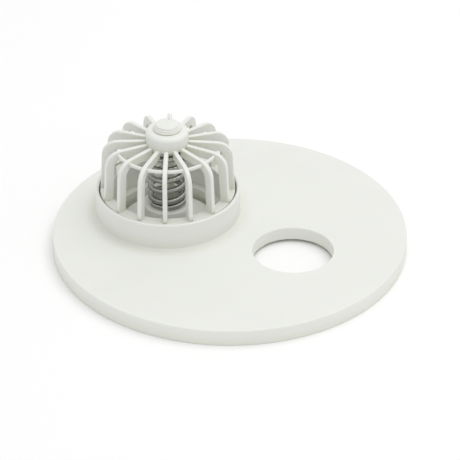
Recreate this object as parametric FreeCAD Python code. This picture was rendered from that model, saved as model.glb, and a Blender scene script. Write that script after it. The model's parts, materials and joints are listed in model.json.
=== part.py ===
"""Pool skimmer vacuum plate with a caged, spring-loaded suction relief valve.

The plate lies on its skirt with the valve cage upwards. Millimetres, +Z up. The origin is the
centre of the plate on the resting plane, and +X points from the relief valve to the hose hole.
"""

import FreeCAD, Part
import math
import os

# ---- driving dimensions ------------------------------------------------------------------
PLATE_RADIUS = 105.7          # outside radius of the plate
PLATE_HEIGHT = 10.0           # resting plane to the top face
WEB_THICKNESS = 4.0           # the flat web between skirt and bosses
SKIRT_WALL = 4.0              # wall of the outer skirt
RIM_ROUND = 0.6               # edge round on the outer rim
FEATURE_OFFSET = 43.2         # plate centre to the valve axis, and to the hose-hole axis

HOSE_RADIUS = 24.0            # hole for the cuff of a 38 mm pool hose
HOSE_WALL_LENGTH = 8.0        # depth of the hose-hole wall below the top face
BOSS_WALL = 4.0               # wall of the two bosses under the web

PORT_BORE_RADIUS = 30.0       # valve bore above the seat
SEAT_RADIUS = 24.0            # clear port inside the seat lip
SEAT_THICKNESS = 1.5          # seat lip at the foot of the valve bore

COLLAR_RADIUS = 43.55         # outside of the collar that takes the cage
COLLAR_WALL = 2.2
COLLAR_HEIGHT = 17.0          # above the plate's top face
COLLAR_FOOT = 1.2             # fillet where the collar meets the plate
COLLAR_LIP = 1.0              # edge round on both sides of the collar's lip

STIFFENER_COUNT = 12          # radial stiffeners under the web
STIFFENER_THICKNESS = 2.2
STIFFENER_DROP = 5.0          # how far they hang below the web
RING_RIB_RADIUS = 86.0        # middle radius of the ring stiffener
RING_RIB_DROP = 4.4
PAD_RADIUS = 6.0              # round pad where the stiffeners cross
PAD_DROP = 5.4

CAGE_LAND_HEIGHT = 9.0        # lower length of the base ring, tight in the collar
CAGE_RING_RADIUS = 40.65      # upper length of the base ring, clear of the collar
CAGE_RING_BORE = 34.0
CAGE_RING_HEIGHT = 16.2       # above the plate's top face
CAGE_RING_LIP = 0.8           # edge round on both sides of the ring's top

RIB_COUNT = 16
RIB_PHASE = 6.5               # degrees from +X to the first rib
RIB_THICKNESS = 2.65
RIB_DEPTH = 5.5               # depth of both limbs, from outer to inner edge
RIB_FOOT_RADIUS = 40.35       # outer edge where the limb leaves the base ring
RIB_TOP_HEIGHT = 49.3         # top edge at the hub, above the plate's top face
RIB_LEAN = 3.0                # degrees that the upright limb leans in
RIB_RISE = 2.5                # degrees that the lying limb rises to the hub
RIB_BEND = 9.6                # outside bend radius at the shoulder
RIB_ROOT = 3.0                # how far the limb reaches down into the base ring

HOOP_RADIUS = 30.3            # inner radius of the part hoop that ties some of the ribs
HOOP_FIRST_RIB = 10           # rib at which it starts, counted anticlockwise
HOOP_GAPS = 6                 # gaps that it spans
HOOP_WIDTH = 1.5
HOOP_BOTTOM = 45.2
HOOP_HEIGHT = 2.0

HUB_RADIUS = 12.8
HUB_TOP = 57.2
HUB_BOTTOM = 47.2
HUB_ROUND = 2.8
SPRING_CUP_RADIUS = 12.15     # pocket for the top of the spring
GUIDE_CLEARANCE = 0.06        # radial play between the stem and the hub

SPRING_RADIUS = 12.0          # outside radius of the spring
SPRING_WIRE = 3.6             # wire diameter
SPRING_BOTTOM = 6.7           # above the plate's top face
SPRING_TOP = 54.5
SPRING_TURNS = 7.7
SPRING_START = -122.0         # degrees, direction of the bottom end of the wire

POPPET_RADIUS = 27.5
POPPET_DISC = 1.5             # thickness of the sealing disc
SEAL_THICKNESS = 1.0
SEAL_RADIUS = 28.0
SPIGOT_RADIUS = 20.0          # carries the seal
SPIGOT_LIP = 0.9              # radial lip that keeps the seal on the spigot
SPIGOT_LIP_HEIGHT = 0.9
POPPET_BOSS_RADIUS = 15.0
POPPET_WALL = 2.0
POPPET_EDGE = 0.8             # edge round of the boss and the spring pilot
SMALL_EDGE = 0.3              # edge round of the thin rims
SPRING_PILOT_RADIUS = 8.1
SPRING_PILOT_HEIGHT = 3.0
STEM_RADIUS = 4.0
STEM_TOP = 59.8
STEM_EDGE = 0.5

CAP_GAP = 0.2                 # between the hub and the cap when the valve is shut
CAP_TIER_RADII = (8.1, 7.4, 6.6)
CAP_TIER_TOPS = (58.65, 59.75, 60.9)
CAP_EDGE_ROUND = 0.35
CAP_CROWN = 0.4               # rise of the domed top above its edge
CROWN_FULLNESS = 0.75         # share of that rise halfway in from the edge
NIB_FOOT_RADIUS = 0.75        # moulding nib left on the cap
NIB_TIP_RADIUS = 0.45
NIB_TOP = 65.2
NIB_PLACE = (-1.2, 4.9)       # from the cap's axis

# ---- derived ------------------------------------------------------------------------------
TOP = PLATE_HEIGHT            # the top face is the level that heights above are counted from
VALVE_X = -FEATURE_OFFSET
HOSE_X = FEATURE_OFFSET
WEB_BOTTOM = TOP - WEB_THICKNESS
STIFFENER_BOTTOM = WEB_BOTTOM - STIFFENER_DROP
SEAT_TOP = SEAT_THICKNESS
SEAL_TOP = SEAT_TOP + SEAL_THICKNESS
POPPET_DISC_TOP = SEAL_TOP + POPPET_DISC
SPRING_CENTRE_RADIUS = SPRING_RADIUS - SPRING_WIRE / 2
UP = FreeCAD.Vector(0, 0, 1)
OVERLAP = 0.5                 # how far fused lumps of one piece reach into each other
REACH = 1.0                   # how far cutting lumps reach past the surface they cut


def vec(x, y, z):
    """A point or direction."""
    return FreeCAD.Vector(x, y, z)


def cylinder(radius, bottom, top, x=0.0):
    """An upright cylinder between two levels, on the axis at (x, 0)."""
    return Part.makeCylinder(radius, top - bottom, vec(x, 0, bottom), UP)


def tube(outer, inner, bottom, top, x=0.0):
    """An upright tube between two levels."""
    return cylinder(outer, bottom, top, x).cut(cylinder(inner, bottom - REACH, top + REACH, x))


def edges_through(points):
    """Edges through a list of points. An item holding two points is an arc: its middle and its end."""
    edges = []
    last = points[0]
    for item in points[1:]:
        if isinstance(item, tuple):
            edges.append(Part.Arc(last, item[0], item[1]).toShape())
            last = item[1]
        else:
            edges.append(Part.LineSegment(last, item).toShape())
            last = item
    return edges


def closed_face(points):
    """A face bounded by an outline whose last point repeats its first."""
    return Part.Face(Part.Wire(edges_through(points)))


def corner_round(centre_r, centre_z, radius, start, end):
    """An arc item of a profile in the XZ plane: its middle and its end, angles in degrees."""
    middle = math.radians((start + end) / 2)
    finish = math.radians(end)
    return (
        vec(centre_r + radius * math.cos(middle), 0, centre_z + radius * math.sin(middle)),
        vec(centre_r + radius * math.cos(finish), 0, centre_z + radius * math.sin(finish)),
    )


def lathe(points, x=0.0):
    """A solid of revolution about the upright axis at (x, 0), from a profile in the XZ plane."""
    solid = closed_face(points).revolve(vec(0, 0, 0), UP, 360)
    solid.translate(vec(x, 0, 0))
    return solid


def rounded_disc(radius, bottom, top, top_round, bottom_round):
    """A disc with rounded upper and lower edges."""
    return lathe([
        vec(0, 0, bottom),
        vec(radius - bottom_round, 0, bottom),
        corner_round(radius - bottom_round, bottom + bottom_round, bottom_round, -90, 0),
        vec(radius, 0, top - top_round),
        corner_round(radius - top_round, top - top_round, top_round, 0, 90),
        vec(0, 0, top),
        vec(0, 0, bottom),
    ])


# ---- skimmer plate ------------------------------------------------------------------------
def plate_shell():
    """The flat web with its outer skirt, open underneath."""
    disc = rounded_disc(PLATE_RADIUS, 0, TOP, RIM_ROUND, RIM_ROUND / 2)
    hollow = cylinder(PLATE_RADIUS - SKIRT_WALL, -REACH, WEB_BOTTOM)
    return disc.cut(hollow)


def plate_stiffeners():
    """Radial ribs, one ring rib and the pad in the middle, all under the web."""
    half_length = PLATE_RADIUS - SKIRT_WALL + OVERLAP
    height = WEB_BOTTOM + OVERLAP - STIFFENER_BOTTOM
    ribs = []
    for index in range(STIFFENER_COUNT // 2):
        corner = vec(-half_length, -STIFFENER_THICKNESS / 2, STIFFENER_BOTTOM)
        rib = Part.makeBox(2 * half_length, STIFFENER_THICKNESS, height, corner)
        rib.rotate(vec(0, 0, 0), UP, 360 / STIFFENER_COUNT * (index + 0.5))
        ribs.append(rib)
    half_wall = STIFFENER_THICKNESS / 2
    ring_outer = RING_RIB_RADIUS + half_wall
    ring_inner = RING_RIB_RADIUS - half_wall
    ring_bottom = WEB_BOTTOM - RING_RIB_DROP
    ribs.append(tube(ring_outer, ring_inner, ring_bottom, WEB_BOTTOM + OVERLAP))
    ribs.append(cylinder(PAD_RADIUS, WEB_BOTTOM - PAD_DROP, WEB_BOTTOM + OVERLAP))
    return ribs


def collar_ring():
    """The upstanding collar with a rounded lip and a filleted foot."""
    inner = COLLAR_RADIUS - COLLAR_WALL
    lip = COLLAR_LIP
    top = TOP + COLLAR_HEIGHT
    foot = COLLAR_RADIUS + COLLAR_FOOT
    foot_arc = corner_round(foot, TOP + COLLAR_FOOT, COLLAR_FOOT, 270, 180)
    return lathe([
        vec(inner, 0, TOP - OVERLAP),
        vec(foot, 0, TOP - OVERLAP),
        vec(foot, 0, TOP),
        foot_arc,
        vec(COLLAR_RADIUS, 0, top - lip),
        corner_round(COLLAR_RADIUS - lip, top - lip, lip, 0, 90),
        vec(inner + lip, 0, top),
        corner_round(inner + lip, top - lip, lip, 90, 180),
        vec(inner, 0, TOP - OVERLAP),
    ], VALVE_X)


def skimmer_plate():
    """The moulded plate: web, skirt, stiffeners, bosses, hose hole, valve seat and collar."""
    hose_boss = cylinder(HOSE_RADIUS + BOSS_WALL, TOP - HOSE_WALL_LENGTH, TOP - OVERLAP, HOSE_X)
    valve_boss = cylinder(PORT_BORE_RADIUS + BOSS_WALL, 0, TOP - OVERLAP, VALVE_X)
    # The stiffeners stop at the bosses, which then carry the bores.
    hose_clear = cylinder(HOSE_RADIUS + OVERLAP, -REACH, WEB_BOTTOM, HOSE_X)
    body = plate_shell().fuse(plate_stiffeners()).cut(hose_clear)
    body = body.fuse([hose_boss, valve_boss, collar_ring()])
    bores = [
        cylinder(HOSE_RADIUS, -REACH, TOP + REACH, HOSE_X),
        cylinder(SEAT_RADIUS, -REACH, TOP + REACH, VALVE_X),
        cylinder(PORT_BORE_RADIUS, SEAT_TOP, TOP + REACH, VALVE_X),
    ]
    for bore in bores:
        body = body.cut(bore)
    return body.removeSplitter()


# ---- valve cage ---------------------------------------------------------------------------
def cage_ring():
    """The base ring: a land tight in the collar, and a narrower neck above it."""
    land = COLLAR_RADIUS - COLLAR_WALL
    neck_start = TOP + CAGE_LAND_HEIGHT
    slope = land - CAGE_RING_RADIUS
    top = TOP + CAGE_RING_HEIGHT
    lip = CAGE_RING_LIP
    return lathe([
        vec(CAGE_RING_BORE, 0, TOP),
        vec(land, 0, TOP),
        vec(land, 0, neck_start),
        vec(CAGE_RING_RADIUS, 0, neck_start + slope),
        vec(CAGE_RING_RADIUS, 0, top - lip),
        corner_round(CAGE_RING_RADIUS - lip, top - lip, lip, 0, 90),
        vec(CAGE_RING_BORE + lip, 0, top),
        corner_round(CAGE_RING_BORE + lip, top - lip, lip, 90, 180),
        vec(CAGE_RING_BORE, 0, TOP),
    ])


def rib_bend_centre(outer_normal, upper_normal):
    """The point that lies one bend radius inside both outer edges of a rib."""
    foot = vec(RIB_FOOT_RADIUS, 0, TOP + CAGE_RING_HEIGHT)
    head = vec(HUB_RADIUS, 0, TOP + RIB_TOP_HEIGHT)
    reach_out = foot.dot(outer_normal) - RIB_BEND
    reach_up = head.dot(upper_normal) - RIB_BEND
    scale = outer_normal.x * upper_normal.z - outer_normal.z * upper_normal.x
    centre_x = (reach_out * upper_normal.z - reach_up * outer_normal.z) / scale
    centre_z = (reach_up * outer_normal.x - reach_out * upper_normal.x) / scale
    return vec(centre_x, 0, centre_z)


def cage_rib():
    """One rib along +X: an upright limb, a bend at the shoulder and a limb lying in to the hub."""
    lean = math.radians(RIB_LEAN)
    rise = math.radians(RIB_RISE)
    outer_normal = vec(math.cos(lean), 0, math.sin(lean))
    upper_normal = vec(math.sin(rise), 0, math.cos(rise))
    centre = rib_bend_centre(outer_normal, upper_normal)
    inner_bend = RIB_BEND - RIB_DEPTH
    shoulder_out = centre + outer_normal * RIB_BEND
    shoulder_in = centre + outer_normal * inner_bend
    along_foot = vec(math.sin(lean), 0, -math.cos(lean))
    foot_run = (shoulder_out.z - (TOP + CAGE_RING_HEIGHT - RIB_ROOT)) / math.cos(lean)
    along_top = vec(-math.cos(rise), 0, math.sin(rise))
    top_run = (centre.x - (HUB_RADIUS - OVERLAP)) / math.cos(rise)
    upper_end = centre + upper_normal * RIB_BEND + along_top * top_run
    lower_end = centre + upper_normal * inner_bend + along_top * top_run
    profile = closed_face([
        shoulder_in + along_foot * foot_run,
        shoulder_out + along_foot * foot_run,
        shoulder_out,
        corner_round(centre.x, centre.z, RIB_BEND, RIB_LEAN, 90 - RIB_RISE),
        upper_end,
        lower_end,
        centre + upper_normal * inner_bend,
        corner_round(centre.x, centre.z, inner_bend, 90 - RIB_RISE, RIB_LEAN),
        shoulder_in + along_foot * foot_run,
    ])
    profile.translate(vec(0, -RIB_THICKNESS / 2, 0))
    return profile.extrude(vec(0, RIB_THICKNESS, 0))


def cage_hub():
    """The hub cup: a pocket for the spring below and a rounded roof above."""
    bottom = TOP + HUB_BOTTOM
    top = TOP + HUB_TOP
    hub = lathe([
        vec(0, 0, bottom),
        vec(HUB_RADIUS, 0, bottom),
        vec(HUB_RADIUS, 0, top - HUB_ROUND),
        corner_round(HUB_RADIUS - HUB_ROUND, top - HUB_ROUND, HUB_ROUND, 0, 90),
        vec(0, 0, top),
        vec(0, 0, bottom),
    ])
    pocket = cylinder(SPRING_CUP_RADIUS, bottom - RIB_DEPTH, TOP + SPRING_TOP)
    return hub, pocket


def cage_hoop():
    """The part hoop inside the shoulders of the ribs. Both its ends lie inside a rib."""
    bottom = TOP + HOOP_BOTTOM
    outer = HOOP_RADIUS + HOOP_WIDTH
    section = closed_face([
        vec(HOOP_RADIUS, 0, bottom),
        vec(outer, 0, bottom),
        vec(outer, 0, bottom + HOOP_HEIGHT),
        vec(HOOP_RADIUS, 0, bottom + HOOP_HEIGHT),
        vec(HOOP_RADIUS, 0, bottom),
    ])
    gap = 360 / RIB_COUNT
    hoop = section.revolve(vec(0, 0, 0), UP, gap * HOOP_GAPS)
    hoop.rotate(vec(0, 0, 0), UP, RIB_PHASE + gap * HOOP_FIRST_RIB)
    return hoop


def valve_cage():
    """The moulded cage: base ring, ribs, part hoop and hub in one piece."""
    ribs = []
    for index in range(RIB_COUNT):
        rib = cage_rib()
        rib.rotate(vec(0, 0, 0), UP, RIB_PHASE + 360 / RIB_COUNT * index)
        ribs.append(rib)
    hub, pocket = cage_hub()
    cage = cage_ring().fuse(ribs + [cage_hoop(), hub])
    cage = cage.cut(pocket)
    cage = cage.cut(cylinder(STEM_RADIUS + GUIDE_CLEARANCE, TOP, TOP + HUB_TOP + REACH))
    cage.translate(vec(VALVE_X, 0, 0))
    return cage.removeSplitter()


# ---- relief spring ------------------------------------------------------------------------
def relief_spring():
    """The coil spring as a round wire swept along a helix, ends ground flat and square."""
    length = SPRING_TOP - SPRING_BOTTOM
    pitch = (length - SPRING_WIRE / 2) / SPRING_TURNS
    rise = pitch * SPRING_TURNS
    helix = Part.makeHelix(pitch, rise, SPRING_CENTRE_RADIUS)
    slope = math.atan2(pitch, 2 * math.pi * SPRING_CENTRE_RADIUS)
    start = vec(SPRING_CENTRE_RADIUS, 0, 0)
    tangent = vec(0, math.cos(slope), math.sin(slope))
    section = Part.Wire([Part.Circle(start, tangent, SPRING_WIRE / 2).toShape()])
    wire = Part.Wire(helix).makePipeShell([section], True, True)
    wire.rotate(vec(0, 0, 0), UP, SPRING_START)
    bottom = TOP + SPRING_BOTTOM
    wire.translate(vec(0, 0, bottom + SPRING_WIRE / 4))
    kept = cylinder(SPRING_RADIUS + REACH, bottom, bottom + length)
    spring = wire.common(kept)
    spring.translate(vec(VALVE_X, 0, 0))
    return spring


# ---- poppet, seal and cap -----------------------------------------------------------------
def valve_poppet():
    """The poppet: sealing disc, hollow boss under the spring, spring pilot and guide stem."""
    boss_top = TOP + SPRING_BOTTOM
    pilot_top = boss_top + SPRING_PILOT_HEIGHT
    spigot_bottom = SEAT_TOP - SPIGOT_LIP_HEIGHT
    lip_radius = SPIGOT_RADIUS + SPIGOT_LIP
    pieces = [
        rounded_disc(POPPET_RADIUS, SEAL_TOP, POPPET_DISC_TOP, SMALL_EDGE, SMALL_EDGE),
        rounded_disc(POPPET_BOSS_RADIUS, SEAL_TOP, boss_top, POPPET_EDGE, SMALL_EDGE),
        cylinder(SPIGOT_RADIUS, SEAT_TOP - OVERLAP, SEAL_TOP + OVERLAP),
        rounded_disc(lip_radius, spigot_bottom, SEAT_TOP, SMALL_EDGE, SMALL_EDGE),
        rounded_disc(SPRING_PILOT_RADIUS, boss_top - OVERLAP, pilot_top, POPPET_EDGE, SMALL_EDGE),
        rounded_disc(STEM_RADIUS, boss_top, TOP + STEM_TOP, STEM_EDGE, SMALL_EDGE),
    ]
    hollow_radius = POPPET_BOSS_RADIUS - POPPET_WALL
    hollow_top = boss_top - POPPET_WALL
    hollow = rounded_disc(hollow_radius, spigot_bottom - REACH, hollow_top, POPPET_EDGE, SMALL_EDGE)
    poppet = pieces[0].fuse(pieces[1:]).cut(hollow)
    poppet.translate(vec(VALVE_X, 0, 0))
    return poppet.removeSplitter()


def poppet_seal():
    """The flat rubber ring held in the groove between the disc and the spigot's lip."""
    ring = rounded_disc(SEAL_RADIUS, SEAT_TOP, SEAL_TOP, SMALL_EDGE, SMALL_EDGE)
    ring = ring.cut(cylinder(SPIGOT_RADIUS, SEAT_TOP - REACH, SEAL_TOP + REACH))
    ring.translate(vec(VALVE_X, 0, 0))
    return ring


def stem_cap():
    """The stepped, slightly domed cap pressed on the end of the stem, with its moulding nib."""
    bottom = TOP + HUB_TOP + CAP_GAP
    tiers = []
    for radius, top in zip(CAP_TIER_RADII, CAP_TIER_TOPS):
        tiers.append(rounded_disc(radius, bottom, TOP + top, CAP_EDGE_ROUND, CAP_EDGE_ROUND / 2))
    crown_edge = CAP_TIER_RADII[-1] - CAP_EDGE_ROUND
    crown_foot = TOP + CAP_TIER_TOPS[-1]
    crown_top = crown_foot + CAP_CROWN
    crown_middle = vec(crown_edge / 2, 0, crown_foot + CAP_CROWN * CROWN_FULLNESS)
    crown = lathe([
        vec(0, 0, bottom),
        vec(crown_edge, 0, bottom),
        vec(crown_edge, 0, crown_foot),
        (crown_middle, vec(0, 0, crown_top)),
        vec(0, 0, bottom),
    ])
    nib_foot = vec(NIB_PLACE[0], NIB_PLACE[1], crown_foot - OVERLAP)
    nib = Part.makeCone(NIB_FOOT_RADIUS, NIB_TIP_RADIUS, TOP + NIB_TOP - nib_foot.z, nib_foot, UP)
    cap = tiers[0].fuse(tiers[1:] + [crown, nib])
    cap = cap.cut(rounded_disc(STEM_RADIUS, bottom - REACH, TOP + STEM_TOP, STEM_EDGE, SMALL_EDGE))
    cap.translate(vec(VALVE_X, 0, 0))
    return cap.removeSplitter()


def write_parts():
    """Writes each piece as one STEP file named for its node."""
    makers = [skimmer_plate, valve_cage, relief_spring, valve_poppet, poppet_seal, stem_cap]
    os.makedirs("parts", exist_ok=True)
    for make in makers:
        shape = make()
        box = shape.BoundBox
        print(make.__name__, "solids", len(shape.Solids), "valid", shape.isValid())
        print("  volume", round(shape.Volume, 1), "z", round(box.ZMin, 3), round(box.ZMax, 3))
        shape.Solids[0].exportStep("parts/" + make.__name__ + ".step")


write_parts()
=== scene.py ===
"""Finished look of a pool skimmer vacuum plate with a caged suction relief valve.

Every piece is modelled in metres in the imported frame, dressed, and ridden on its body: the plate, cage and
spring on the housing, and the poppet with its seal and cap on the sliding poppet.
"""
import json
import logging
import math
from contextlib import contextmanager
from dataclasses import dataclass
from enum import Enum
from typing import Callable, Iterator

import bmesh
import bpy
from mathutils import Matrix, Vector


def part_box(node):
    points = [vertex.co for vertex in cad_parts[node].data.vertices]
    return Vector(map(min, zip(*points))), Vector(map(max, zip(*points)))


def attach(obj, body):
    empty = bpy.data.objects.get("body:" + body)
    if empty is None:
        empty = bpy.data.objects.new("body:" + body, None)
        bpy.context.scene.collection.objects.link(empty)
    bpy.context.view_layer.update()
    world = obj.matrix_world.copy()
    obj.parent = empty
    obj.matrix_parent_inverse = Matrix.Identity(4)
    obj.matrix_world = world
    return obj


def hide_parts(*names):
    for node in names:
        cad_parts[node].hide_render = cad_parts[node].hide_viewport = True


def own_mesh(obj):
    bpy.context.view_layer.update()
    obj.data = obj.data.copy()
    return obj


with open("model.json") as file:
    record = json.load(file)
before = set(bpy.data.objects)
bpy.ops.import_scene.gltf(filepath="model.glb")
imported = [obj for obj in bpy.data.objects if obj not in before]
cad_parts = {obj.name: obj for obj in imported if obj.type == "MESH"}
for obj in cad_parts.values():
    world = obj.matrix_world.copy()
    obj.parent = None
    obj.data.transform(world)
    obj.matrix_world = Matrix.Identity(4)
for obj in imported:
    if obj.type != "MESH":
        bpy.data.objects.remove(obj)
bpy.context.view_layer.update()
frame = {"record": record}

LOG = logging.getLogger("skimmer_plate")
MM = 0.001
FULL_TURN = 2 * math.pi
UP = Vector((0, 0, 1))
MERGE = 1e-6                 # points closer than this are one point

Outline = list[tuple[float, float]]


class Body(Enum):
    """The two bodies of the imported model."""

    HOUSING = "housing"
    POPPET = "poppet"


class Slot(Enum):
    """The record's material slots."""

    PLASTIC = "white_plastic"
    STEEL = "spring_steel"
    RUBBER = "seal_rubber"


class Joining(Enum):
    """What a boolean does with the second lump."""

    ADD = "UNION"
    REMOVE = "DIFFERENCE"


# ---- hand tools ---------------------------------------------------------------------------
def deselect_all() -> None:
    """Clear the selection, so that the next operator acts on one piece only."""
    bpy.ops.object.select_all(action="DESELECT")


def make_active(piece: bpy.types.Object) -> None:
    """Select one piece and nothing else."""
    deselect_all()
    piece.select_set(True)
    bpy.context.view_layer.objects.active = piece


@contextmanager
def edit_mode(piece: bpy.types.Object) -> Iterator[None]:
    """Hold a piece in edit mode for the length of a with block."""
    make_active(piece)
    bpy.ops.object.mode_set(mode="EDIT")
    bpy.ops.mesh.select_mode(type="VERT")
    try:
        yield
    finally:
        bpy.ops.object.mode_set(mode="OBJECT")


def select_faces(piece: bpy.types.Object, wanted: Callable[[bmesh.types.BMFace], bool]) -> None:
    """Select the faces of a piece in edit mode that pass a test.

    Args:
        piece: the object being edited.
        wanted: the test, given each face.
    """
    bpy.ops.mesh.select_mode(type="FACE")
    bpy.ops.mesh.select_all(action="DESELECT")
    mesh = bmesh.from_edit_mesh(piece.data)
    for face in mesh.faces:
        face.select_set(wanted(face))
    bmesh.update_edit_mesh(piece.data)


def settle(piece: bpy.types.Object, name: str) -> bpy.types.Object:
    """Name a piece and put its place into its mesh, with its object at the origin.

    Args:
        piece: the finished or half-finished object.
        name: the name it is known by.

    Returns:
        The same object.
    """
    make_active(piece)
    bpy.ops.object.transform_apply(location=True, rotation=True, scale=True)
    piece.name = name
    piece.data.name = name
    return piece


def face_outwards(piece: bpy.types.Object) -> None:
    """Merge doubled points, then turn every face outwards."""
    with edit_mode(piece):
        bpy.ops.mesh.select_all(action="SELECT")
        bpy.ops.mesh.remove_doubles(threshold=MERGE)
        bpy.ops.mesh.normals_make_consistent(inside=False)


def arc(centre_r: float, centre_z: float, radius: float, start: float, end: float, steps: int = 4) -> Outline:
    """Points along an arc of an outline.

    Args:
        centre_r: radius at which the arc is centred.
        centre_z: height at which it is centred.
        radius: its own radius.
        start: first angle, in degrees from outwards.
        end: last angle.
        steps: number of chords.

    Returns:
        The points, both ends included.
    """
    points = []
    for index in range(steps + 1):
        angle = math.radians(start + (end - start) * index / steps)
        points.append((centre_r + radius * math.cos(angle), centre_z + radius * math.sin(angle)))
    return points


def turn_on_lathe(name: str, outline: Outline, axis: Vector, steps: int) -> bpy.types.Object:
    """Draw an outline point by point and spin it about an upright axis.

    Args:
        name: the piece's name.
        outline: (radius, height) points. A closed ring's last point repeats its first.
        axis: a point on the axis.
        steps: chords around the full turn.

    Returns:
        The closed solid.
    """
    places = [Vector((axis.x + radius, axis.y, height)) for radius, height in outline]
    deselect_all()
    bpy.ops.mesh.primitive_plane_add(size=MM, location=places[0])
    piece = bpy.context.active_object
    with edit_mode(piece):
        bpy.ops.mesh.select_all(action="SELECT")
        bpy.ops.mesh.merge(type="CENTER")
        for here, there in zip(places, places[1:]):
            bpy.ops.mesh.extrude_vertices_move(TRANSFORM_OT_translate={"value": there - here})
        bpy.ops.mesh.select_all(action="SELECT")
        bpy.ops.mesh.spin(steps=steps, angle=FULL_TURN, center=axis, axis=UP)
    settle(piece, name)
    face_outwards(piece)
    return piece


def join_lumps(piece: bpy.types.Object, other: bpy.types.Object, how: Joining) -> None:
    """Add one lump to a piece or take it away, and throw the lump's object away.

    Args:
        piece: the object that is kept.
        other: the lump.
        how: whether the lump is added or removed.
    """
    make_active(piece)
    modifier = piece.modifiers.new(how.name.lower(), "BOOLEAN")
    modifier.operation = how.value
    modifier.solver = "EXACT"
    modifier.object = other
    bpy.ops.object.modifier_apply(modifier=modifier.name)
    bpy.data.objects.remove(other)
    with edit_mode(piece):
        bpy.ops.mesh.select_all(action="SELECT")
        bpy.ops.mesh.remove_doubles(threshold=MERGE)
        bpy.ops.mesh.dissolve_degenerate(threshold=MERGE)


def flatten_facets(piece: bpy.types.Object) -> None:
    """Dissolve the edges between faces that lie in one plane."""
    with edit_mode(piece):
        bpy.ops.mesh.select_all(action="SELECT")
        bpy.ops.mesh.dissolve_limited(angle_limit=math.radians(0.1))


def smooth_off(piece: bpy.types.Object, sharp_degrees: float = 38) -> None:
    """Shade smooth across small angles, with flat faces kept flat by area-weighted normals."""
    make_active(piece)
    bpy.ops.object.shade_smooth_by_angle(angle=math.radians(sharp_degrees))
    modifier = piece.modifiers.new("weighted", "WEIGHTED_NORMAL")
    modifier.keep_sharp = True
    modifier.weight = 80
    bpy.ops.object.modifier_apply(modifier=modifier.name)


# ---- shared surface effects ---------------------------------------------------------------
def new_group(name: str, inputs: dict[str, float | tuple], outputs: dict[str, str]) -> bpy.types.NodeTree:
    """Make an empty shader node group with named sockets.

    Args:
        name: the group's name.
        inputs: socket names and default values; a tuple makes a colour socket.
        outputs: socket names and socket types.

    Returns:
        The group, with its input and output nodes in it.
    """
    group = bpy.data.node_groups.new(name, "ShaderNodeTree")
    for label, value in inputs.items():
        kind = "NodeSocketColor" if isinstance(value, tuple) else "NodeSocketFloat"
        socket = group.interface.new_socket(label, in_out="INPUT", socket_type=kind)
        socket.default_value = value
    for label, kind in outputs.items():
        group.interface.new_socket(label, in_out="OUTPUT", socket_type=kind)
    group.nodes.new("NodeGroupInput")
    group.nodes.new("NodeGroupOutput")
    return group


def ends_of(group: bpy.types.NodeTree) -> tuple[bpy.types.Node, bpy.types.Node]:
    """The group's input node and output node."""
    entry = next(node for node in group.nodes if node.type == "GROUP_INPUT")
    leave = next(node for node in group.nodes if node.type == "GROUP_OUTPUT")
    return entry, leave


def noise(tree: bpy.types.NodeTree, scale: float, detail: float) -> bpy.types.Node:
    """A noise texture on the piece's own coordinates."""
    place = tree.nodes.new("ShaderNodeTexCoord")
    texture = tree.nodes.new("ShaderNodeTexNoise")
    texture.inputs["Scale"].default_value = scale
    texture.inputs["Detail"].default_value = detail
    tree.links.new(place.outputs["Object"], texture.inputs["Vector"])
    return texture


def ranged(
    tree: bpy.types.NodeTree, value: bpy.types.NodeSocket, span: tuple, result: tuple
) -> bpy.types.Node:
    """Map a value from one span to another, clamped.

    Args:
        tree: the node tree.
        value: the socket to map.
        span: lowest and highest value in.
        result: lowest and highest value out.

    Returns:
        The Map Range node.
    """
    node = tree.nodes.new("ShaderNodeMapRange")
    node.inputs["From Min"].default_value, node.inputs["From Max"].default_value = span
    node.inputs["To Min"].default_value, node.inputs["To Max"].default_value = result
    tree.links.new(value, node.inputs["Value"])
    return node


def painted_cavity_shade_group() -> bpy.types.NodeTree:
    """Painted shade: colour that warms and deepens where the surface faces other surfaces close by, read by
    ambient occlusion.
    """
    group = new_group(
        "painted_cavity_shade",
        {"Clean": (0.8, 0.8, 0.8, 1), "Deep": (0.6, 0.6, 0.5, 1), "Reach": 0.012, "Cloud": 0.02},
        {"Color": "NodeSocketColor"},
    )
    entry, leave = ends_of(group)
    # Painted shade: ambient occlusion mixes toward the shaded colour in hollows and corners.
    hollow = group.nodes.new("ShaderNodeAmbientOcclusion")
    hollow.samples = 8
    group.links.new(entry.outputs["Reach"], hollow.inputs["Distance"])
    shade_share = ranged(group, hollow.outputs["AO"], span=(0.15, 0.85), result=(1, 0))
    blend = group.nodes.new("ShaderNodeMix")
    blend.data_type = "RGBA"
    group.links.new(shade_share.outputs["Result"], blend.inputs["Factor"])
    group.links.new(entry.outputs["Clean"], blend.inputs["A"])
    group.links.new(entry.outputs["Deep"], blend.inputs["B"])
    cloud = noise(group, scale=26, detail=3)
    swing = ranged(group, cloud.outputs["Fac"], span=(0.3, 0.7), result=(-1, 1))
    share = group.nodes.new("ShaderNodeMath")
    share.operation = "MULTIPLY_ADD"
    share.inputs[2].default_value = 1
    group.links.new(swing.outputs["Result"], share.inputs[0])
    group.links.new(entry.outputs["Cloud"], share.inputs[1])
    scaled = group.nodes.new("ShaderNodeVectorMath")
    scaled.operation = "SCALE"
    group.links.new(blend.outputs["Result"], scaled.inputs[0])
    group.links.new(share.outputs["Value"], scaled.inputs["Scale"])
    group.links.new(scaled.outputs["Vector"], leave.inputs["Color"])
    return group


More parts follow.
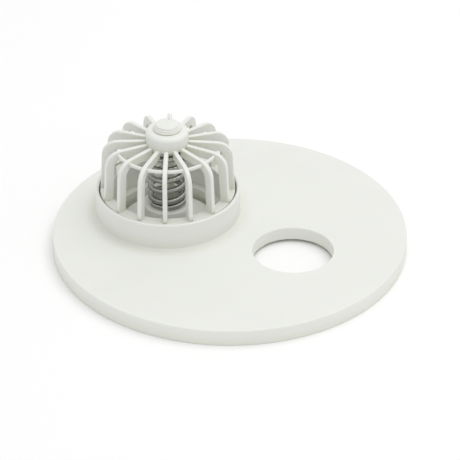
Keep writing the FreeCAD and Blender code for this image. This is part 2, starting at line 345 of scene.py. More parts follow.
def mould_grain_group() -> bpy.types.NodeTree:
    """Height of a moulded surface: fine spark-eroded grain over a slow sink and swell."""
    group = new_group("mould_grain", {"Grain": 0.5, "Swell": 0.5}, {"Height": "NodeSocketFloat"})
    entry, leave = ends_of(group)
    fine = noise(group, scale=2600, detail=2)
    slow = noise(group, scale=45, detail=1)
    grain = group.nodes.new("ShaderNodeMath")
    grain.operation = "MULTIPLY"
    group.links.new(fine.outputs["Fac"], grain.inputs[0])
    group.links.new(entry.outputs["Grain"], grain.inputs[1])
    total = group.nodes.new("ShaderNodeMath")
    total.operation = "MULTIPLY_ADD"
    group.links.new(slow.outputs["Fac"], total.inputs[0])
    group.links.new(entry.outputs["Swell"], total.inputs[1])
    group.links.new(grain.outputs["Value"], total.inputs[2])
    group.links.new(total.outputs["Value"], leave.inputs["Height"])
    return group


@dataclass(frozen=True)
class SharedEffects:
    """The node groups that several finishes use."""

    cavity_shade: bpy.types.NodeTree
    grain: bpy.types.NodeTree


def shared_effects() -> SharedEffects:
    """Build each shared node group once."""
    return SharedEffects(cavity_shade=painted_cavity_shade_group(), grain=mould_grain_group())


def place_group(
    tree: bpy.types.NodeTree, group: bpy.types.NodeTree, **values: float | tuple
) -> bpy.types.Node:
    """Put a node group in a material with its own values.

    Args:
        tree: the material's node tree.
        group: the group.
        values: value of each input socket, by name.

    Returns:
        The group node.
    """
    node = tree.nodes.new("ShaderNodeGroup")
    node.node_tree = group
    for label, value in values.items():
        node.inputs[label].default_value = value
    return node


# ---- finishes -----------------------------------------------------------------------------
@dataclass(frozen=True)
class MouldedPlastic:
    """Off-white injection-moulded plastic, satin, faintly translucent."""

    name: str
    clean: tuple[float, float, float, float]
    deep: tuple[float, float, float, float]
    roughness: float
    grain_height: float
    glow: float
    sheen_swing: float = 0.05

    def material(self, effects: SharedEffects) -> bpy.types.Material:
        """The finished material."""
        material = bpy.data.materials.new(self.name)
        material.use_nodes = True
        tree = material.node_tree
        shader = tree.nodes["Principled BSDF"]
        # The cavity group paints shade: olive grey where nearby surfaces hem the plastic in.
        colour = place_group(tree, effects.cavity_shade, Clean=self.clean, Deep=self.deep, Reach=0.014, Cloud=0.012)
        tree.links.new(colour.outputs["Color"], shader.inputs["Base Color"])
        sheen_patches = noise(tree, scale=60, detail=2)
        swing = (self.roughness - self.sheen_swing, self.roughness + self.sheen_swing)
        rough = ranged(tree, sheen_patches.outputs["Fac"], span=(0.3, 0.7), result=swing)
        tree.links.new(rough.outputs["Result"], shader.inputs["Roughness"])
        grain = place_group(tree, effects.grain, Grain=0.5, Swell=0.8)
        bump = tree.nodes.new("ShaderNodeBump")
        bump.inputs["Strength"].default_value = 0.25
        bump.inputs["Distance"].default_value = self.grain_height
        tree.links.new(grain.outputs["Height"], bump.inputs["Height"])
        tree.links.new(bump.outputs["Normal"], shader.inputs["Normal"])
        shader.inputs["IOR"].default_value = 1.49
        shader.inputs["Subsurface Weight"].default_value = self.glow
        shader.inputs["Subsurface Radius"].default_value = (1.0, 0.95, 0.7)
        shader.inputs["Subsurface Scale"].default_value = 2.2 * MM
        return material


@dataclass(frozen=True)
class SpringSteel:
    """Drawn stainless wire with die lines and a slightly uneven polish."""

    name: str
    bright: tuple[float, float, float, float]
    dull: tuple[float, float, float, float]
    line_height: float = 0.01 * MM

    def material(self) -> bpy.types.Material:
        """The finished material."""
        material = bpy.data.materials.new(self.name)
        material.use_nodes = True
        tree = material.node_tree
        shader = tree.nodes["Principled BSDF"]
        shader.inputs["Metallic"].default_value = 1
        patches = noise(tree, scale=90, detail=2)
        spread = ranged(tree, patches.outputs["Fac"], span=(0.35, 0.65), result=(0, 1))
        blend = tree.nodes.new("ShaderNodeMix")
        blend.data_type = "RGBA"
        blend.inputs["A"].default_value = self.bright
        blend.inputs["B"].default_value = self.dull
        tree.links.new(spread.outputs["Result"], blend.inputs["Factor"])
        tree.links.new(blend.outputs["Result"], shader.inputs["Base Color"])
        rough = ranged(tree, patches.outputs["Fac"], span=(0.3, 0.7), result=(0.22, 0.28))
        tree.links.new(rough.outputs["Result"], shader.inputs["Roughness"])
        lines = noise(tree, scale=700, detail=1)
        bump = tree.nodes.new("ShaderNodeBump")
        bump.inputs["Strength"].default_value = 0.1
        bump.inputs["Distance"].default_value = self.line_height
        tree.links.new(lines.outputs["Fac"], bump.inputs["Height"])
        tree.links.new(bump.outputs["Normal"], shader.inputs["Normal"])
        return material


@dataclass(frozen=True)
class SealRubber:
    """Smooth black nitrile rubber with a little bloom."""

    name: str
    black: tuple[float, float, float, float]
    bloom: tuple[float, float, float, float]
    grain_height: float = 0.05 * MM

    def material(self, effects: SharedEffects) -> bpy.types.Material:
        """The finished material."""
        material = bpy.data.materials.new(self.name)
        material.use_nodes = True
        tree = material.node_tree
        shader = tree.nodes["Principled BSDF"]
        # Painted shade: the cavity group mixes the bloom colour on open faces toward black in hollows.
        colour = place_group(tree, effects.cavity_shade, Clean=self.bloom, Deep=self.black, Reach=0.004, Cloud=0.25)
        tree.links.new(colour.outputs["Color"], shader.inputs["Base Color"])
        patches = noise(tree, scale=300, detail=3)
        rough = ranged(tree, patches.outputs["Fac"], span=(0.3, 0.7), result=(0.48, 0.66))
        tree.links.new(rough.outputs["Result"], shader.inputs["Roughness"])
        grain = place_group(tree, effects.grain, Grain=1.0, Swell=0.2)
        bump = tree.nodes.new("ShaderNodeBump")
        bump.inputs["Strength"].default_value = 0.3
        bump.inputs["Distance"].default_value = self.grain_height
        tree.links.new(grain.outputs["Height"], bump.inputs["Height"])
        tree.links.new(bump.outputs["Normal"], shader.inputs["Normal"])
        return material


@dataclass(frozen=True)
class Finishes:
    """Every finish of the object, ready to assign."""

    plastic: bpy.types.Material
    steel: bpy.types.Material
    rubber: bpy.types.Material


def mix_finishes() -> Finishes:
    """Build the object's materials."""
    effects = shared_effects()
    plastic = MouldedPlastic(
        name="moulded_white_plastic",
        # The plastic's own colour, then the olive painted shade for its hollows and the inside of the cage.
        clean=(0.815, 0.825, 0.785, 1),
        deep=(0.715, 0.725, 0.61, 1),
        roughness=0.42,
        grain_height=0.03 * MM,
        glow=0.12,
    )
    steel = SpringSteel("stainless_spring_wire", (0.43, 0.425, 0.4, 1), (0.36, 0.355, 0.33, 1))
    rubber = SealRubber("seal_black_rubber", (0.012, 0.012, 0.012, 1), (0.035, 0.035, 0.036, 1))
    return Finishes(plastic.material(effects), steel.material(), rubber.material(effects))


def hand_over(
    piece: bpy.types.Object, body: Body, node: str, finish: bpy.types.Material
) -> None:
    """Dress a piece, let it stand for its node and ride it on its body.

    Args:
        piece: the finished mesh.
        body: the body it moves with.
        node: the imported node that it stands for.
        finish: its material.
    """
    piece.data.materials.clear()
    piece.data.materials.append(finish)
    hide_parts(node)
    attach(piece, body.value)
    LOG.info("%s: %d faces, rides on %s", piece.name, len(piece.data.polygons), body.value)


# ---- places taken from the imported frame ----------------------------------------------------
@dataclass(frozen=True)
class Places:
    """Where the axes and levels of the object are."""

    valve: Vector
    hose: Vector
    hose_radius: float
    hose_wall: float
    top: float


def find_places() -> Places:
    """Read the axes and the plate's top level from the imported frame."""
    cage_low, cage_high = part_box("valve_cage")
    middle = (cage_low + cage_high) / 2
    hole = next(mount for mount in frame["record"]["mounts"] if mount["name"] == "hose_hole")
    x, y, _ = hole["pos_m"]
    return Places(
        valve=Vector((middle.x, middle.y, 0)),
        hose=Vector((x, y, 0)),
        hose_radius=hole["dims"]["r_mm"] * MM,
        hose_wall=hole["dims"]["length_mm"] * MM,
        top=cage_low.z,
    )


# ---- skimmer plate ------------------------------------------------------------------------
@dataclass
class SkimmerPlate:
    """The round plate with skirt, collar, bosses, seat, hose hole and stiffeners."""

    places: Places
    finishes: Finishes
    web: float = 4.0 * MM
    skirt_wall: float = 4.0 * MM
    rim_round: float = 0.7 * MM
    foot_round: float = 0.3 * MM
    collar_radius: float = 43.55 * MM
    collar_wall: float = 2.2 * MM
    collar_foot: float = 1.3 * MM
    boss_wall: float = 4.0 * MM
    bore_radius: float = 30.0 * MM
    seat_radius: float = 24.0 * MM
    seat_thickness: float = 1.5 * MM
    hole_round: float = 0.5 * MM
    stiffener_count: int = 12
    stiffener_thickness: float = 2.2 * MM
    stiffener_drop: float = 5.0 * MM
    ring_radius: float = 86.0 * MM
    ring_drop: float = 4.4 * MM
    pad_radius: float = 6.0 * MM
    pad_drop: float = 5.4 * MM
    inner_corner: float = 1.0 * MM
    collar_lip: float = 1.05 * MM
    edge_ease: float = 0.4 * MM
    overlap: float = 0.5 * MM
    cutter_reach: float = 1.0 * MM
    edge_steps: int = 224
    bore_steps: int = 128

    def shell(self) -> bpy.types.Object:
        """The web and skirt, open underneath."""
        low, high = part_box("skimmer_plate")
        radius = (high.x - low.x) / 2
        top = self.places.top
        inner = radius - self.skirt_wall
        ceiling = top - self.web
        corner = self.inner_corner
        outline = [(0, top)]
        outline += arc(radius - self.rim_round, top - self.rim_round, self.rim_round, 90, 0, 6)
        outline += arc(radius - self.foot_round, self.foot_round, self.foot_round, 0, -90, 3)
        outline += arc(inner + self.foot_round, self.foot_round, self.foot_round, 270, 180, 3)
        outline += arc(inner - corner, ceiling - corner, corner, 0, 90)
        outline += [(0, ceiling)]
        piece = turn_on_lathe("plate_moulding", outline, Vector((0, 0, 0)), self.edge_steps)
        flatten_facets(piece)
        return piece

    def collar(self) -> bpy.types.Object:
        """The upstanding collar, its lip rounded and its foot filleted into the plate."""
        top = self.places.top
        inner = self.collar_radius - self.collar_wall
        lip = self.collar_lip
        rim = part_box("skimmer_plate")[1].z
        foot = self.collar_radius + self.collar_foot
        outline = [(inner, top - self.overlap), (foot, top - self.overlap)]
        outline += arc(foot, top + self.collar_foot, self.collar_foot, 270, 180, 6)
        outline += arc(self.collar_radius - lip, rim - lip, lip, 0, 90, 6)
        outline += arc(inner + lip, rim - lip, lip, 90, 180, 6)
        outline += [(inner, top - self.overlap)]
        return turn_on_lathe("collar", outline, self.places.valve, self.bore_steps)

    def boss(self, axis: Vector, radius: float, foot: float, name: str) -> bpy.types.Object:
        """A solid boss that hangs from the web, its lower edge rounded."""
        ease = self.edge_ease
        ceiling = self.places.top - self.overlap
        outline = [(0, ceiling), (radius, ceiling)]
        outline += arc(radius - ease, foot + ease, ease, 0, -90, 3)
        outline += [(0, foot)]
        return turn_on_lathe(name, outline, axis, self.bore_steps)

    def stiffener(self, turn: float) -> bpy.types.Object:
        """One radial stiffener across the full width, its lower edges eased."""
        low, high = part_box("skimmer_plate")
        length = (high.x - low.x) - 2 * self.skirt_wall + 2 * self.overlap
        ceiling = self.places.top - self.web + self.overlap
        floor = self.places.top - self.web - self.stiffener_drop
        deselect_all()
        bpy.ops.mesh.primitive_cube_add(
            size=1,
            location=(0, 0, (ceiling + floor) / 2),
            rotation=(0, 0, turn),
            scale=(length, self.stiffener_thickness, ceiling - floor),
        )
        piece = settle(bpy.context.active_object, "stiffener")
        with edit_mode(piece):
            select_faces(piece, lambda face: face.normal.z < -0.9)
            bpy.ops.mesh.bevel(offset=self.edge_ease, segments=3, affect="EDGES")
        return piece

    def ring_stiffener(self) -> bpy.types.Object:
        """The ring that ties the radial stiffeners."""
        half = self.stiffener_thickness / 2
        ease = self.edge_ease
        ceiling = self.places.top - self.web + self.overlap
        floor = self.places.top - self.web - self.ring_drop
        outer, inner = self.ring_radius + half, self.ring_radius - half
        outline = [(inner, ceiling), (outer, ceiling)]
        outline += arc(outer - ease, floor + ease, ease, 0, -90, 3)
        outline += arc(inner + ease, floor + ease, ease, 270, 180, 3)
        outline += [(inner, ceiling)]
        return turn_on_lathe("ring_stiffener", outline, Vector((0, 0, 0)), self.edge_steps)

    def bore(self, axis: Vector, radius: float, floor: float, ease: float) -> bpy.types.Object:
        """A cutter for a bore that opens at the top face with a rounded edge."""
        top = self.places.top
        above = top + self.cutter_reach
        outline = [(0, above), (radius + ease, above)]
        outline += arc(radius + ease, top - ease, ease, 90, 180, 5)
        outline += [(radius, floor), (0, floor)]
        return turn_on_lathe("cutter", outline, axis, self.bore_steps)

    def build(self) -> None:
        """Model the plate, dress it and hand it over."""
        below = -self.cutter_reach
        middle = Vector((0, 0, 0))
        piece = self.shell()
        pad_foot = self.places.top - self.web - self.pad_drop
        join_lumps(piece, self.boss(middle, self.pad_radius, pad_foot, "pad"), Joining.ADD)
        for index in range(self.stiffener_count // 2):
            turn = FULL_TURN / self.stiffener_count * (index + 0.5)
            join_lumps(piece, self.stiffener(turn), Joining.ADD)
        join_lumps(piece, self.ring_stiffener(), Joining.ADD)
        hose_foot = self.places.top - self.places.hose_wall
        clearing = self.boss(self.places.hose, self.places.hose_radius + self.overlap, below, "clearing")
        join_lumps(piece, clearing, Joining.REMOVE)
        hose_outer = self.places.hose_radius + self.boss_wall
        hose_boss = self.boss(self.places.hose, hose_outer, hose_foot, "hose_boss")
        join_lumps(piece, hose_boss, Joining.ADD)
        valve_boss = self.boss(self.places.valve, self.bore_radius + self.boss_wall, 0, "valve_boss")
        join_lumps(piece, valve_boss, Joining.ADD)
        join_lumps(piece, self.collar(), Joining.ADD)
        hose_bore = self.bore(self.places.hose, self.places.hose_radius, below, self.hole_round)
        join_lumps(piece, hose_bore, Joining.REMOVE)
        seat_bore = self.bore(self.places.valve, self.seat_radius, below, self.hole_round)
        join_lumps(piece, seat_bore, Joining.REMOVE)
        port_bore = self.bore(self.places.valve, self.bore_radius, self.seat_thickness, self.hole_round)
        join_lumps(piece, port_bore, Joining.REMOVE)
        smooth_off(piece)
        hand_over(piece, Body.HOUSING, "skimmer_plate", self.finishes.plastic)


# ---- valve cage ---------------------------------------------------------------------------
@dataclass
class ValveCage:
    """The moulded cage: base ring, bent ribs, part hoop and hub."""

    places: Places
    finishes: Finishes
    land_height: float = 9.0 * MM
    land_radius: float = 41.35 * MM
    ring_radius: float = 40.65 * MM
    ring_bore: float = 34.0 * MM
    ring_height: float = 16.2 * MM
    ring_lip: float = 0.8 * MM
    rib_count: int = 16
    rib_phase: float = math.radians(6.5)
    rib_thickness: float = 2.65 * MM
    rib_depth: float = 5.5 * MM
    rib_foot: float = 40.35 * MM
    rib_head: float = 49.3 * MM
    rib_lean: float = math.radians(3.0)
    rib_rise: float = math.radians(2.5)
    rib_bend: float = 9.6 * MM
    rib_edge: float = 0.5 * MM
    rib_root: float = 3.0 * MM
    bend_steps: int = 10
    hoop_radius: float = 30.3 * MM
    hoop_width: float = 1.5 * MM
    hoop_bottom: float = 45.2 * MM
    hoop_height: float = 2.0 * MM
    hoop_first_rib: int = 10
    hoop_gaps: int = 6
    hoop_ease: float = 0.4 * MM
    hoop_steps_per_gap: int = 8
    hub_radius: float = 12.8 * MM
    hub_bottom: float = 47.2 * MM
    hub_round: float = 2.8 * MM
    hub_ease: float = 0.3 * MM
    cup_radius: float = 12.15 * MM
    guide_radius: float = 4.06 * MM
    overlap: float = 0.5 * MM
    steps: int = 128

    def base_ring(self) -> bpy.types.Object:
        """The ring that sits in the collar."""
        top = self.places.top
        crown = top + self.ring_height
        lip = self.ring_lip
        neck = top + self.land_height
        outline = [(self.ring_bore, top), (self.land_radius, top), (self.land_radius, neck)]
        outline += [(self.ring_radius, neck + self.land_radius - self.ring_radius)]
        outline += arc(self.ring_radius - lip, crown - lip, lip, 0, 90)
        outline += arc(self.ring_bore + lip, crown - lip, lip, 90, 180)
        outline += [(self.ring_bore, top)]
        return turn_on_lathe("base_ring", outline, self.places.valve, self.steps)

    def hoop(self) -> bpy.types.Object:
        """The thin part hoop inside the shoulders of the ribs, both ends buried in a rib."""
        axis = self.places.valve
        gap = FULL_TURN / self.rib_count
        start = self.rib_phase + gap * self.hoop_first_rib
        radial = Vector((math.cos(start), math.sin(start), 0))
        middle = axis + radial * (self.hoop_radius + self.hoop_width / 2)
        middle.z = self.places.top + self.hoop_bottom + self.hoop_height / 2
        deselect_all()
        bpy.ops.mesh.primitive_plane_add(size=1, location=middle, rotation=(math.pi / 2, 0, start))
        bpy.context.active_object.scale = (self.hoop_width, self.hoop_height, 1)
        piece = settle(bpy.context.active_object, "hoop")
        with edit_mode(piece):
            bpy.ops.mesh.select_all(action="SELECT")
            bpy.ops.mesh.bevel(offset=self.hoop_ease, segments=3, affect="VERTICES")
            bpy.ops.mesh.select_all(action="SELECT")
            steps = self.hoop_gaps * self.hoop_steps_per_gap
            bpy.ops.mesh.spin(steps=steps, angle=gap * self.hoop_gaps, center=axis, axis=-UP)
        face_outwards(piece)
        return piece

    def hub(self) -> bpy.types.Object:
        """The hub cup with its rounded roof, spring pocket and stem guide."""
        low = self.places.top + self.hub_bottom
        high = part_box("valve_cage")[1].z
        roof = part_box("relief_spring")[1].z
        ease = self.hub_ease
        outline = [(self.guide_radius, high - ease), (self.guide_radius + ease, high)]
        outline += arc(self.hub_radius - self.hub_round, high - self.hub_round, self.hub_round, 90, 0, 8)
        outline += arc(self.hub_radius - ease, low + ease, ease, 0, -90, 3)
        outline += [(self.cup_radius, low), (self.cup_radius, roof), (self.guide_radius, roof)]
        outline += [outline[0]]
        return turn_on_lathe("hub", outline, self.places.valve, self.steps)

    def bend_centre(self) -> tuple[float, float]:
        """Radius and height of the point that lies one bend radius inside both outer edges of a rib."""
        out_r, out_z = math.cos(self.rib_lean), math.sin(self.rib_lean)
        up_r, up_z = math.sin(self.rib_rise), math.cos(self.rib_rise)
        foot_z = self.places.top + self.ring_height
        head_z = self.places.top + self.rib_head
        reach_out = self.rib_foot * out_r + foot_z * out_z - self.rib_bend
        reach_up = self.hub_radius * up_r + head_z * up_z - self.rib_bend
        scale = out_r * up_z - out_z * up_r
        centre_r = (reach_out * up_z - reach_up * out_z) / scale
        centre_z = (reach_up * out_r - reach_out * up_r) / scale
        return centre_r, centre_z

    def ribs(self) -> bpy.types.Object:
        """Model one rib from its foot to the hub, then copy it around the cage."""
        axis = self.places.valve
        radial = Vector((math.cos(self.rib_phase), math.sin(self.rib_phase), 0))
        sideways = UP.cross(radial)
        centre_r, centre_z = self.bend_centre()
        centre = axis + radial * centre_r + UP * centre_z
        outwards = radial * math.cos(self.rib_lean) + UP * math.sin(self.rib_lean)
        limb = UP * math.cos(self.rib_lean) - radial * math.sin(self.rib_lean)
        inwards = UP * math.sin(self.rib_rise) - radial * math.cos(self.rib_rise)
        middle_bend = self.rib_bend - self.rib_depth / 2
        shoulder = centre + outwards * middle_bend
        foot_level = self.places.top + self.ring_height - self.rib_root
        run = (shoulder.z - foot_level) / math.cos(self.rib_lean)
        foot = shoulder - limb * run
        reach_in = (centre_r - self.hub_radius + self.overlap) / math.cos(self.rib_rise)
        deselect_all()
        bpy.ops.mesh.primitive_plane_add(size=1, location=foot, rotation=(0, -self.rib_lean, self.rib_phase))
        bpy.context.active_object.scale = (self.rib_depth, self.rib_thickness, 1)
        piece = settle(bpy.context.active_object, "cage_moulding")
        with edit_mode(piece):
            bpy.ops.mesh.select_all(action="SELECT")
            bpy.ops.mesh.extrude_region_move(TRANSFORM_OT_translate={"value": limb * run})
            bend = math.pi / 2 - self.rib_lean - self.rib_rise
            bpy.ops.mesh.spin(steps=self.bend_steps, angle=bend, center=centre, axis=sideways)
            bpy.ops.mesh.extrude_region_move(TRANSFORM_OT_translate={"value": inwards * reach_in})
        face_outwards(piece)
        make_active(piece)
        edge = piece.modifiers.new("edge", "BEVEL")
        edge.width = self.rib_edge
        edge.segments = 3
        edge.limit_method = "ANGLE"
        edge.angle_limit = math.radians(50)
        bpy.ops.object.modifier_apply(modifier=edge.name)
        copies = self.rib_count - 1
        with edit_mode(piece):
            bpy.ops.mesh.select_all(action="SELECT")
            turn = FULL_TURN * copies / self.rib_count
            bpy.ops.mesh.spin(steps=copies, dupli=True, angle=turn, center=axis, axis=UP)
            bpy.ops.mesh.select_all(action="SELECT")
            bpy.ops.mesh.normals_make_consistent(inside=False)
        return piece

    def build(self) -> None:
        """Model the cage, dress it and hand it over."""
        piece = self.ribs()
        for lump in (self.base_ring(), self.hub(), self.hoop()):
            join_lumps(piece, lump, Joining.ADD)
        smooth_off(piece)
        hand_over(piece, Body.HOUSING, "valve_cage", self.finishes.plastic)


# ---- relief spring ------------------------------------------------------------------------
@dataclass
class ReliefSpring:
    """The coil spring: closed, ground ends and open turns between them."""

    places: Places
    finishes: Finishes
    wire_radius: float = 1.8 * MM
    start_angle: float = math.radians(-122)
    closed_pitch: float = 3.62 * MM
    closed_turns: float = 0.85
    blend_turns: float = 0.35
    total_turns: float = 7.25
    steps_per_turn: int = 48
    section_points: int = 20

    def climb(self, turn: float, open_pitch: float) -> float:
        """Pitch of the wire at a given turn, closed at both ends."""
        from_end = min(turn, self.total_turns - turn)
        share = (from_end - self.closed_turns) / self.blend_turns
        share = max(0.0, min(1.0, share))
        share = share * share * (3 - 2 * share)
        return self.closed_pitch + (open_pitch - self.closed_pitch) * share

    def rises(self, height: float) -> list[float]:
        """How far the wire rises at each step, so that the whole coil has the given height."""
        count = round(self.total_turns * self.steps_per_turn)
        turns = [(index + 0.5) / self.steps_per_turn for index in range(count)]
        shut = sum(self.climb(turn, self.closed_pitch) for turn in turns) / self.steps_per_turn
        opened = sum(self.climb(turn, self.closed_pitch + MM) for turn in turns) / self.steps_per_turn
        unit = opened - shut
        open_pitch = self.closed_pitch + (height - shut) / unit * MM
        return [self.climb(turn, open_pitch) / self.steps_per_turn for turn in turns]

    def build(self) -> None:
        """Wind the wire, grind its ends, dress it and hand it over."""
        low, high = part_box("relief_spring")
        axis = self.places.valve
        coil_radius = (high.x - low.x) / 2 - self.wire_radius
        ground = self.wire_radius / 2
        start = axis + Vector((math.cos(self.start_angle), math.sin(self.start_angle), 0)) * coil_radius
        start.z = low.z + self.wire_radius - ground
        deselect_all()
        bpy.ops.mesh.primitive_circle_add(
            vertices=self.section_points,
            radius=self.wire_radius,
            fill_type="NGON",
            location=start,
            rotation=(math.pi / 2, 0, self.start_angle),
        )
        piece = settle(bpy.context.active_object, "spring_wire")
        height = (high.z - low.z) - 2 * (self.wire_radius - ground)
        with edit_mode(piece):
            bpy.ops.mesh.select_all(action="SELECT")
            step = FULL_TURN / self.steps_per_turn
            for rise in self.rises(height):
                bpy.ops.mesh.spin(steps=1, angle=step, center=axis, axis=-UP)
                bpy.ops.transform.translate(value=(0, 0, rise))
        face_outwards(piece)
        for level, side in ((low.z, -1), (high.z, 1)):
            with edit_mode(piece):
                bpy.ops.mesh.select_all(action="SELECT")
                bpy.ops.mesh.bisect(
                    plane_co=(0, 0, level),
                    plane_no=(0, 0, side),
                    use_fill=True,
                    clear_outer=True,
                    threshold=MERGE / 10,
                )
        smooth_off(piece, 50)
        hand_over(piece, Body.HOUSING, "relief_spring", self.finishes.steel)
        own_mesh(piece)


# ---- poppet, seal and cap -----------------------------------------------------------------
@dataclass
class ValvePoppet:
    """The poppet moulding: disc, spigot, hollow boss, spring pilot and guide stem."""

    places: Places
    finishes: Finishes
    disc: float = 1.5 * MM
    spigot_radius: float = 20.0 * MM
    lip: float = 0.9 * MM
    boss_radius: float = 15.0 * MM
    wall: float = 2.0 * MM
    pilot_radius: float = 8.1 * MM
    pilot_height: float = 3.0 * MM
    stem_radius: float = 4.0 * MM
    ease: float = 0.4 * MM
    steps: int = 96

    def build(self) -> None:
        """Model the poppet, dress it and hand it over."""
        low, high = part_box("valve_poppet")
        seal_low, seal_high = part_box("poppet_seal")
        spring_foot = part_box("relief_spring")[0].z
        radius = (high.x - low.x) / 2
        disc_top = seal_high.z + self.disc
        ease = self.ease
        inner = self.boss_radius - self.wall
        ceiling = spring_foot - self.wall
        lip_radius = self.spigot_radius + self.lip
        outline = [(0, high.z)]
        outline += arc(self.stem_radius - ease, high.z - ease, ease, 90, 0, 3)
        pilot_top = spring_foot + self.pilot_height
        outline += [(self.stem_radius, pilot_top)]
        outline += arc(self.pilot_radius - ease, pilot_top - ease, ease, 90, 0, 3)
        outline += [(self.pilot_radius, spring_foot)]
        outline += arc(self.boss_radius - 2 * ease, spring_foot - 2 * ease, 2 * ease, 90, 0, 4)
        outline += arc(self.boss_radius + ease, disc_top + ease, ease, 180, 270, 3)
        outline += arc(radius - ease, disc_top - ease, ease, 90, 0, 3)
        outline += [(radius, seal_high.z), (self.spigot_radius, seal_high.z)]
        outline += [(self.spigot_radius, seal_low.z), (lip_radius, seal_low.z)]
        outline += [(lip_radius, low.z + ease), (lip_radius - ease, low.z)]
        outline += [(inner, low.z)]
        outline += arc(inner - ease, ceiling - ease, ease, 0, 90, 3)
        outline += [(0, ceiling)]
        piece = turn_on_lathe("poppet_moulding", outline, self.places.valve, self.steps)
        smooth_off(piece)
        hand_over(piece, Body.POPPET, "valve_poppet", self.finishes.plastic)


@dataclass
class PoppetSeal:
    """The flat rubber ring under the poppet's disc."""

    places: Places
    finishes: Finishes
    bore: float = 20.0 * MM
    ease: float = 0.3 * MM
    steps: int = 96

    def build(self) -> None:
        """Model the ring, dress it and hand it over."""
        low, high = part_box("poppet_seal")
        radius = (high.x - low.x) / 2
        outline = arc(radius - self.ease, high.z - self.ease, self.ease, 90, 0, 3)
        outline += arc(radius - self.ease, low.z + self.ease, self.ease, 0, -90, 3)
        outline += [(self.bore, low.z), (self.bore, high.z), outline[0]]
        piece = turn_on_lathe("seal_ring", outline, self.places.valve, self.steps)
        smooth_off(piece)
        hand_over(piece, Body.POPPET, "poppet_seal", self.finishes.rubber)


@dataclass
class StemCap:
    """The stepped, domed cap on the end of the stem, with its moulding nib."""

    places: Places
    finishes: Finishes
    tiers: tuple[tuple[float, float], ...] = (
        (8.1 * MM, 58.65 * MM),
        (7.4 * MM, 59.75 * MM),
        (6.6 * MM, 60.9 * MM),
    )
    ease: float = 0.35 * MM
    crown: float = 0.4 * MM
    tread: float = 0.5 * MM
    riser: float = 1.3 * MM
    foot_ease: float = 0.15 * MM
    crown_points: int = 6
    nib_radius: float = 0.38 * MM
    nib_flare: float = 1.4
    nib_flare_height: float = 1.2 * MM
    nib_taper: float = 0.7
    nib_sink: float = 0.3 * MM
    nib_place: tuple[float, float] = (-1.4 * MM, 4.8 * MM)
    stem_radius: float = 4.0 * MM
    steps: int = 96

    def body(self) -> bpy.types.Object:
        """The turned cap with its three tiers and the socket for the stem."""
        low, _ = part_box("stem_cap")
        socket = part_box("valve_poppet")[1].z
        top = self.places.top
        crown_foot = top + self.tiers[-1][1]
        dome_radius = self.tiers[-1][0] - self.ease
        outline = []
        for index in range(self.crown_points):
            reach = dome_radius * index / self.crown_points
            outline.append((reach, crown_foot + self.crown * (1 - (reach / dome_radius) ** 2)))
        for radius, level in reversed(self.tiers):
            if len(outline) > self.crown_points:
                outline.append((radius - self.ease - self.tread, top + level))
            outline += arc(radius - self.ease, top + level - self.ease, self.ease, 90, 0)
            outline.append((radius, max(low.z, top + level - self.riser)))
        base_radius = self.tiers[0][0]
        outline = outline[:-1]
        outline += [(base_radius, low.z + self.foot_ease), (base_radius - self.foot_ease, low.z)]
        outline += [(self.stem_radius, low.z), (self.stem_radius, socket), (0, socket)]
        return turn_on_lathe("cap_moulding", outline, self.places.valve, self.steps)

    def nib(self) -> bpy.types.Object:
        """The thin nib that moulding left on the cap."""
        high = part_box("stem_cap")[1].z
        foot = self.places.top + self.tiers[-1][1] - self.nib_sink
        x, y = self.nib_place
        axis = self.places.valve + Vector((x, y, 0))
        tip = self.nib_radius * self.nib_taper
        outline = [(0, foot), (self.nib_radius * self.nib_flare, foot)]
        outline += [(self.nib_radius, foot + self.nib_flare_height)]
        outline += arc(0, high - tip, tip, 0, 90, 4)
        return turn_on_lathe("nib", outline, axis, 20)

    def build(self) -> None:
        """Model the cap, dress it and hand it over."""
        piece = self.body()
        join_lumps(piece, self.nib(), Joining.ADD)
        smooth_off(piece)
        hand_over(piece, Body.POPPET, "stem_cap", self.finishes.plastic)


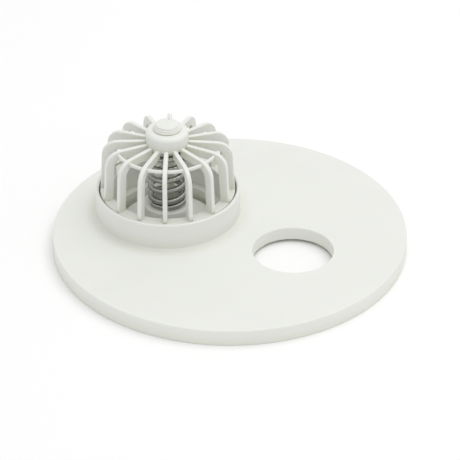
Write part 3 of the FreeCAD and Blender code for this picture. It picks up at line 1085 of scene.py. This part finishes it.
# ---- studio -------------------------------------------------------------------------------
@dataclass
class Studio:
    """Pale floor, soft light from above and the camera."""

    places: Places
    azimuth: float = math.radians(30.3)
    elevation: float = math.radians(32.99)
    distance: float = 1.698
    lens: float = 222.26
    sensor: float = 36.0
    shift: tuple[float, float] = (0.0003, -0.0005)
    floor_colour: tuple[float, float, float, float] = (0.97, 0.97, 0.97, 1)
    sky_strength: float = 0.76
    lamp_power: float = 9.0
    lamp_size: float = 1.6
    lamp_place: tuple[float, float, float] = (0.35, 0.25, 1.5)
    floor_size: float = 12

    def floor(self) -> None:
        """A wide, plain, pale floor."""
        deselect_all()
        bpy.ops.mesh.primitive_plane_add(size=self.floor_size, location=(0, 0, 0))
        sheet = settle(bpy.context.active_object, "studio_floor")
        material = bpy.data.materials.new("pale_floor")
        material.use_nodes = True
        tree = material.node_tree
        shader = tree.nodes["Principled BSDF"]
        shader.inputs["Base Color"].default_value = self.floor_colour
        shader.inputs["Roughness"].default_value = 0.9
        shader.inputs["Specular IOR Level"].default_value = 0.1
        sheet.data.materials.append(material)

    def lights(self) -> None:
        """An even pale sky and one large soft lamp overhead, a little to the right."""
        world = bpy.data.worlds.new("studio_sky")
        world.use_nodes = True
        sky = world.node_tree.nodes["Background"]
        sky.inputs["Color"].default_value = (1, 1, 1, 1)
        sky.inputs["Strength"].default_value = self.sky_strength
        bpy.context.scene.world = world
        deselect_all()
        bpy.ops.object.light_add(type="AREA", location=self.lamp_place)
        lamp = bpy.context.active_object
        lamp.name = "soft_lamp"
        lamp.data.shape = "DISK"
        lamp.data.size = self.lamp_size
        lamp.data.energy = self.lamp_power
        aim = Vector((0, 0, 0)) - lamp.location
        lamp.rotation_euler = aim.to_track_quat("-Z", "Y").to_euler()

    def camera(self) -> None:
        """The camera, aimed at the centre of the plate's top face."""
        target = Vector((0, 0, self.places.top))
        level = math.cos(self.elevation)
        back = Vector((
            math.sin(self.azimuth) * level,
            -math.cos(self.azimuth) * level,
            math.sin(self.elevation),
        ))
        bpy.ops.object.camera_add(location=target + back * self.distance)
        camera = bpy.context.active_object
        camera.name = "studio_camera"
        camera.rotation_euler = (-back).to_track_quat("-Z", "Y").to_euler()
        camera.data.sensor_width = self.sensor
        camera.data.lens = self.lens
        camera.data.shift_x, camera.data.shift_y = self.shift
        camera.data.clip_start = 0.05
        camera.data.clip_end = 50
        bpy.context.scene.camera = camera

    def build(self) -> None:
        """Set up floor, light, camera and the plain colour transform."""
        self.floor()
        self.lights()
        self.camera()
        bpy.context.scene.view_settings.view_transform = "Standard"
        LOG.info("studio: lens %.1f mm at %.3f m", self.lens, self.distance)


def main() -> None:
    """Build every sub-assembly in order, then the studio."""
    logging.basicConfig(level=logging.INFO, format="%(name)s %(message)s")
    places = find_places()
    finishes = mix_finishes()
    SkimmerPlate(places, finishes).build()
    ValveCage(places, finishes).build()
    ReliefSpring(places, finishes).build()
    ValvePoppet(places, finishes).build()
    PoppetSeal(places, finishes).build()
    StemCap(places, finishes).build()
    Studio(places).build()


if __name__ == "__main__":
    main()
